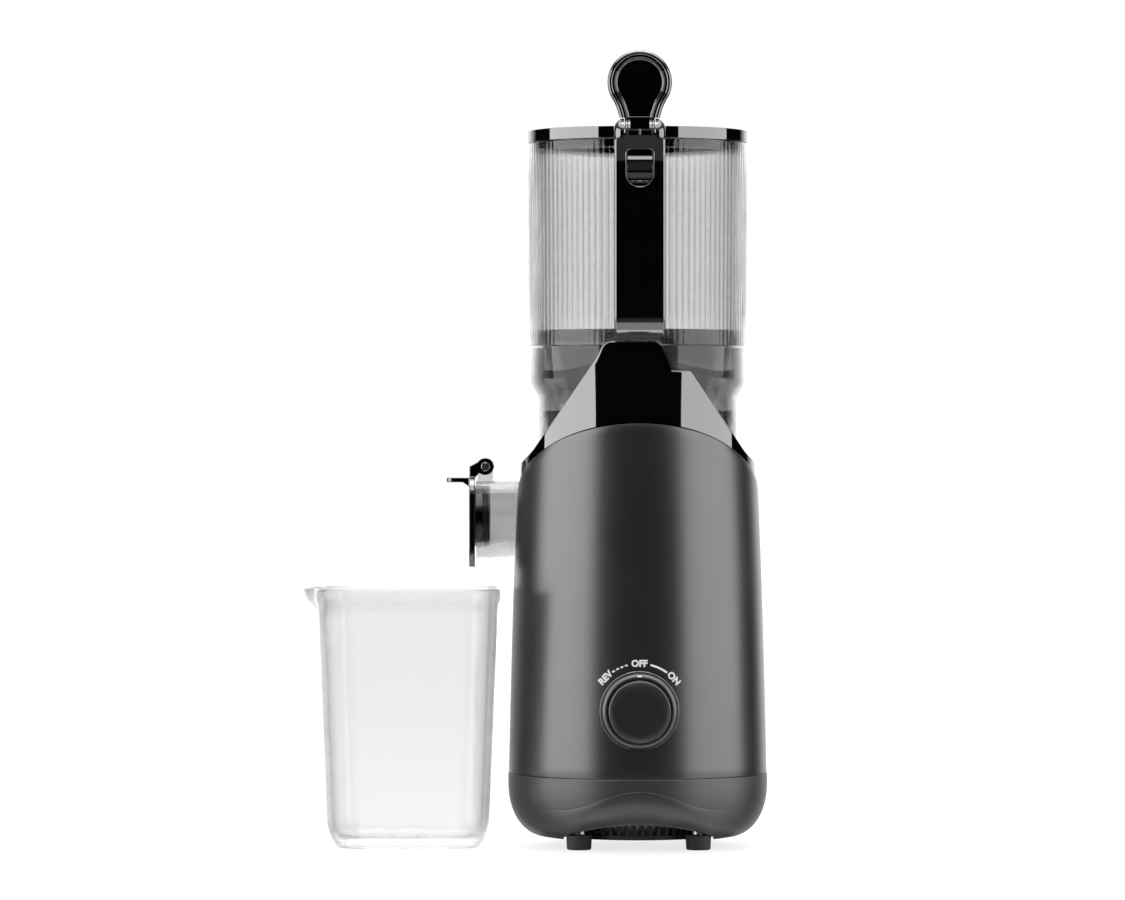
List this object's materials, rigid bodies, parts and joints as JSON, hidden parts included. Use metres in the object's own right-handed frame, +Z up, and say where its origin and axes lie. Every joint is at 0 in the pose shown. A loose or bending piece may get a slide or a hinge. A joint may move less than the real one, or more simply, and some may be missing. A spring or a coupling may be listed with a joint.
{
  "type": "cold press juicer",
  "caption": "Upright slow juicer: grey motor base with a rotary switch, clear strainer bowl with a hinged spout cap, fluted hopper with D handle and flip lid, and a clear jug.",
  "frame": {"origin": "on the juicer's vertical axis at floor level, where the feet stand", "axes": "+Z up along the axis of the motor and the auger, front with the knob and handle towards -Y, juice spout and jug towards -X"},
  "size_m": [0.2789, 0.182, 0.4702],
  "materials": {
    "shell_grey": "moulded ABS, fine satin texture",
    "skirt_grey": "moulded ABS, fine satin texture",
    "plate_black": "moulded ABS, matte",
    "foot_rubber": "soft moulded rubber",
    "gloss_black": "moulded ABS, high gloss",
    "knob_black": "moulded ABS, gloss with a turned face",
    "dial_white": "white insert",
    "switch_black": "moulded nylon",
    "board_green": "solder mask",
    "can_steel": "drawn and plated",
    "core_steel": "stacked laminations",
    "winding_copper": "enamelled copper wire",
    "shaft_steel": "ground",
    "screw_steel": "zinc plated",
    "pin_chrome": "polished",
    "cast_aluminium": "as cast, machined faces",
    "gear_nylon": "moulded nylon, greased",
    "bush_bronze": "sintered",
    "fan_grey": "moulded nylon",
    "seal_silicone": "moulded silicone",
    "bowl_clear": "clear smoke copolyester",
    "hopper_clear": "clear copolyester, fluted outside",
    "jug_clear": "clear copolyester",
    "smoke_floor": "smoke copolyester",
    "strainer_black": "moulded nylon",
    "mesh_steel": "photo-etched",
    "auger_black": "moulded Ultem"
  },
  "bodies": {
    "base": {"base_skirt": "skirt_grey", "rubber_feet": "foot_rubber", "bottom_plate": "plate_black", "base_screws": "screw_steel", "body_shell": "shell_grey", "cradle": "gloss_black", "rotary_switch": "switch_black", "power_inlet": "switch_black", "control_board": "board_green", "motor_can": "can_steel", "motor_stator": "core_steel", "stator_windings": "winding_copper", "motor_bearings": "shaft_steel", "gearbox_cover": "cast_aluminium", "gearbox_housing": "cast_aluminium", "motor_screws": "screw_steel", "gearbox_screws": "screw_steel", "ring_gear": "gear_nylon", "output_bush": "bush_bronze", "shaft_seal": "seal_silicone", "safety_switch": "switch_black"},
    "knob": {"knob": "knob_black", "knob_pointer": "dial_white", "switch_shaft": "shaft_steel"},
    "rotor": {"motor_rotor": "core_steel", "cooling_fan": "fan_grey", "sun_gear": "shaft_steel"},
    "carrier": {"planet_carrier": "shaft_steel", "output_shaft": "shaft_steel"},
    "planet_1": {"planet_gear_1": "gear_nylon"},
    "planet_2": {"planet_gear_2": "gear_nylon"},
    "planet_3": {"planet_gear_3": "gear_nylon"},
    "bowl": {"juice_bowl": "bowl_clear", "bowl_gasket": "seal_silicone", "cap_pin": "pin_chrome", "strainer_frame": "strainer_black", "strainer_mesh": "mesh_steel"},
    "cap": {"spout_cap": "gloss_black", "cap_seal": "seal_silicone"},
    "auger": {"auger": "auger_black", "drive_socket": "shaft_steel"},
    "hopper": {"hopper_wall": "hopper_clear", "hopper_floor": "smoke_floor", "handle": "gloss_black", "hinge_cover": "gloss_black", "hinge_pin": "pin_chrome"},
    "lid": {"lid": "gloss_black", "thumb_lever": "gloss_black"},
    "jug": {"juice_jug": "jug_clear"}
  },
  "joints": [
    {"name": "knob_turn", "type": "hinge", "parent": "base", "child": "knob", "pos_m": [0, -0.0784, 0.0836], "axis": [0, 1, 0], "range_deg": [-45, 45]},
    {"name": "motor_spin", "type": "hinge", "parent": "base", "child": "rotor", "pos_m": [0, 0, 0.075], "axis": [0, 0, 1], "continuous": true},
    {"name": "carrier_spin", "type": "hinge", "parent": "base", "child": "carrier", "pos_m": [0, 0, 0.137], "axis": [0, 0, 1], "continuous": true},
    {"name": "planet_spin_1", "type": "hinge", "parent": "carrier", "child": "planet_1", "pos_m": [0.0225, 0, 0.126], "axis": [0, 0, 1], "continuous": true},
    {"name": "planet_spin_2", "type": "hinge", "parent": "carrier", "child": "planet_2", "pos_m": [-0.01125, 0.01949, 0.126], "axis": [0, 0, 1], "continuous": true},
    {"name": "planet_spin_3", "type": "hinge", "parent": "carrier", "child": "planet_3", "pos_m": [-0.01125, -0.01949, 0.126], "axis": [0, 0, 1], "continuous": true},
    {"name": "bowl_lift", "type": "slide", "parent": "base", "child": "bowl", "axis": [0, 0, 1], "range_m": [0, 0.15]},
    {"name": "auger_spin", "type": "hinge", "parent": "bowl", "child": "auger", "pos_m": [0, 0, 0.19], "axis": [0, 0, 1], "continuous": true},
    {"name": "cap_open", "type": "hinge", "parent": "bowl", "child": "cap", "pos_m": [-0.0917, 0.024, 0.2266], "axis": [0, 1, 0], "range_deg": [0, 95]},
    {"name": "hopper_twist", "type": "hinge", "parent": "bowl", "child": "hopper", "pos_m": [0, 0, 0.2984], "axis": [0, 0, 1], "range_deg": [0, 30]},
    {"name": "lid_open", "type": "hinge", "parent": "hopper", "child": "lid", "pos_m": [0, -0.086, 0.4213], "axis": [1, 0, 0], "range_deg": [0, 85]},
    {"name": "jug_slide", "type": "slide", "parent": "base", "child": "jug", "axis": [-1, 0, 0], "range_m": [0, 0.15]}
  ],
  "couplings": [
    {"joint": "carrier_spin", "follows": "motor_spin", "ratio": 0.16667},
    {"joint": "planet_spin_1", "follows": "motor_spin", "ratio": -0.41667},
    {"joint": "planet_spin_2", "follows": "motor_spin", "ratio": -0.41667},
    {"joint": "planet_spin_3", "follows": "motor_spin", "ratio": -0.41667},
    {"joint": "auger_spin", "follows": "motor_spin", "ratio": 0.16667}
  ]
}
